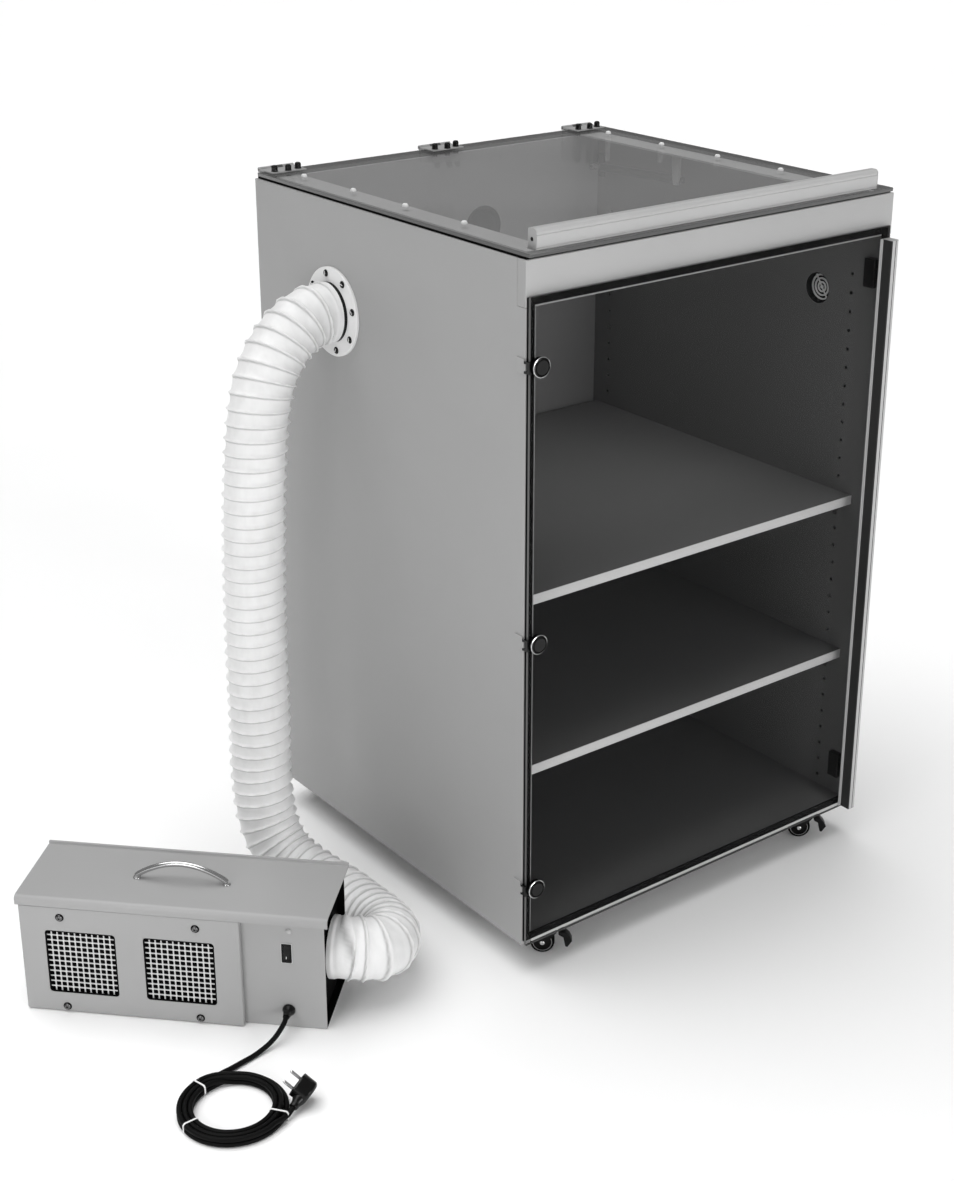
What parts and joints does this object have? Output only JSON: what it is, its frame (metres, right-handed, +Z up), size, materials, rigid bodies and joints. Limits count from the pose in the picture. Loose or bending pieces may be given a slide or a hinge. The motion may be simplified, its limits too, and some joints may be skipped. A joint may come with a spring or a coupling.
{
  "type": "printer extraction cabinet",
  "caption": "Wheeled cabinet for a desktop printer, with clear hinged door and lid, inner shelves, and a flexible duct to a portable filter unit beside it.",
  "frame": {"origin": "centre of the floor plan of everything but the duct and the mains lead, on the floor", "axes": "+X to the right along the cabinet's front, +Y from the front towards the back, +Z up"},
  "size_m": [1.4149, 0.8203, 1.2027],
  "materials": {
    "grey_paint": "satin powder coat",
    "grey_laminate": "satin laminate on board",
    "pale_laminate": "satin laminate on board",
    "duct_fabric": "coated fabric over a wire helix",
    "filter_media": "pleated filter",
    "clear_sheet": "clear polished sheet",
    "black_rubber": "matt",
    "black_plastic": "fine texture",
    "white_plastic": "matt",
    "satin_aluminium": "satin anodised",
    "chrome": "bright plate",
    "dark_steel": "black coated steel"
  },
  "bodies": {
    "cabinet": {"left_panel": "grey_laminate", "right_panel": "grey_laminate", "back_panel": "grey_laminate", "base_panel": "grey_laminate", "front_rail": "pale_laminate", "lid_seal": "black_rubber", "door_seal": "black_rubber", "upper_shelf": "grey_laminate", "lower_shelf": "grey_laminate", "side_vent": "grey_paint", "duct_flange": "white_plastic", "cable_port_cover": "black_plastic", "catch_upper": "black_plastic", "catch_lower": "black_plastic", "lid_hinge_base_1": "satin_aluminium", "lid_hinge_base_2": "satin_aluminium", "lid_hinge_base_3": "satin_aluminium", "door_hinge_base_1": "satin_aluminium", "door_hinge_base_2": "satin_aluminium", "door_hinge_base_3": "satin_aluminium", "stay_bracket": "dark_steel", "filter_casing": "grey_paint", "filter_hood": "grey_paint", "filter_cover": "grey_paint", "filter_grille": "satin_aluminium", "carry_handle": "chrome", "filter_spigot": "black_rubber", "filter_cartridge": "filter_media", "fan_motor": "satin_aluminium", "cable_gland": "black_plastic", "duct": "duct_fabric", "mains_lead": "black_rubber", "mains_coil": "black_rubber", "mains_plug": "black_plastic"},
    "door": {"door_pane": "clear_sheet", "door_handle": "satin_aluminium", "door_hinge_cap_1": "black_plastic", "door_hinge_cap_2": "black_plastic", "door_hinge_cap_3": "black_plastic"},
    "lid": {"lid_pane": "clear_sheet", "lid_handle": "satin_aluminium", "lid_strip_left": "grey_paint", "lid_strip_right": "grey_paint", "lid_hinge_leaf_1": "satin_aluminium", "lid_hinge_leaf_2": "satin_aluminium", "lid_hinge_leaf_3": "satin_aluminium"},
    "stay_rod": {"stay_rod": "dark_steel"},
    "stay_cylinder": {"stay_cylinder": "dark_steel"},
    "castor_front_left": {"castor_front_left_fork": "black_plastic"},
    "castor_front_left_wheel": {"castor_front_left_wheel": "black_rubber"},
    "castor_front_left_brake": {"castor_front_left_brake": "black_plastic"},
    "castor_front_right": {"castor_front_right_fork": "black_plastic"},
    "castor_front_right_wheel": {"castor_front_right_wheel": "black_rubber"},
    "castor_front_right_brake": {"castor_front_right_brake": "black_plastic"},
    "castor_rear_left": {"castor_rear_left_fork": "black_plastic"},
    "castor_rear_left_wheel": {"castor_rear_left_wheel": "black_rubber"},
    "castor_rear_right": {"castor_rear_right_fork": "black_plastic"},
    "castor_rear_right_wheel": {"castor_rear_right_wheel": "black_rubber"},
    "power_rocker": {"power_rocker": "black_plastic"},
    "fan": {"fan_impeller": "black_plastic"}
  },
  "joints": [
    {"name": "door_hinge", "type": "hinge", "parent": "cabinet", "child": "door", "pos_m": [-0.045, -0.3518, 0.583], "axis": [0, 0, -1], "range_deg": [0, 110]},
    {"name": "lid_hinge", "type": "hinge", "parent": "cabinet", "child": "lid", "pos_m": [0.3284, 0.3776, 1.1735], "axis": [-1, 0, 0], "range_deg": [0, 80]},
    {"name": "stay_tilt", "type": "hinge", "parent": "cabinet", "child": "stay_rod", "pos_m": [0.6659, 0.3408, 1.1035], "axis": [-1, 0, 0], "range_deg": [0, 76.5]},
    {"name": "stay_slide", "type": "slide", "parent": "stay_rod", "child": "stay_cylinder", "axis": [0, -0.9987, 0.0504], "range_m": [0, 0.1]},
    {"name": "castor_front_left_swivel", "type": "hinge", "parent": "cabinet", "child": "castor_front_left", "pos_m": [0.0359, -0.3212, 0.0549], "axis": [0, 0, 1], "continuous": true},
    {"name": "castor_front_left_roll", "type": "hinge", "parent": "castor_front_left", "child": "castor_front_left_wheel", "pos_m": [0.02816, -0.31487, 0.02], "axis": [0.6334, 0.7738, 0], "continuous": true},
    {"name": "castor_front_left_brake_press", "type": "hinge", "parent": "castor_front_left", "child": "castor_front_left_brake", "pos_m": [0.04867, -0.33165, 0.0372], "axis": [0.6334, 0.7738, 0], "range_deg": [0, 10]},
    {"name": "castor_front_right_swivel", "type": "hinge", "parent": "cabinet", "child": "castor_front_right", "pos_m": [0.6289, -0.3212, 0.0549], "axis": [0, 0, 1], "continuous": true},
    {"name": "castor_front_right_roll", "type": "hinge", "parent": "castor_front_right", "child": "castor_front_right_wheel", "pos_m": [0.62116, -0.31487, 0.02], "axis": [0.6334, 0.7738, 0], "continuous": true},
    {"name": "castor_front_right_brake_press", "type": "hinge", "parent": "castor_front_right", "child": "castor_front_right_brake", "pos_m": [0.64167, -0.33165, 0.0372], "axis": [0.6334, 0.7738, 0], "range_deg": [0, 10]},
    {"name": "castor_rear_left_swivel", "type": "hinge", "parent": "cabinet", "child": "castor_rear_left", "pos_m": [0.0359, 0.3428, 0.0549], "axis": [0, 0, 1], "continuous": true},
    {"name": "castor_rear_left_roll", "type": "hinge", "parent": "castor_rear_left", "child": "castor_rear_left_wheel", "pos_m": [0.02816, 0.34913, 0.02], "axis": [0.6334, 0.7738, 0], "continuous": true},
    {"name": "castor_rear_right_swivel", "type": "hinge", "parent": "cabinet", "child": "castor_rear_right", "pos_m": [0.6289, 0.3428, 0.0549], "axis": [0, 0, 1], "continuous": true},
    {"name": "castor_rear_right_roll", "type": "hinge", "parent": "castor_rear_right", "child": "castor_rear_right_wheel", "pos_m": [0.62116, 0.34913, 0.02], "axis": [0.6334, 0.7738, 0], "continuous": true},
    {"name": "power_rocker_tip", "type": "hinge", "parent": "cabinet", "child": "power_rocker", "pos_m": [-0.4065, -0.23901, 0.132], "axis": [0.6997, -0.7145, 0], "range_deg": [0, 14]},
    {"name": "fan_spin", "type": "hinge", "parent": "cabinet", "child": "fan", "pos_m": [-0.37707, -0.1703, 0.104], "axis": [0.6997, -0.7145, 0], "continuous": true}
  ],
  "couplings": [
    {"joint": "stay_tilt", "follows": "lid_hinge", "ratio": 0.9435},
    {"joint": "stay_slide", "follows": "lid_hinge", "m_per_rad": 0.07103}
  ]
}
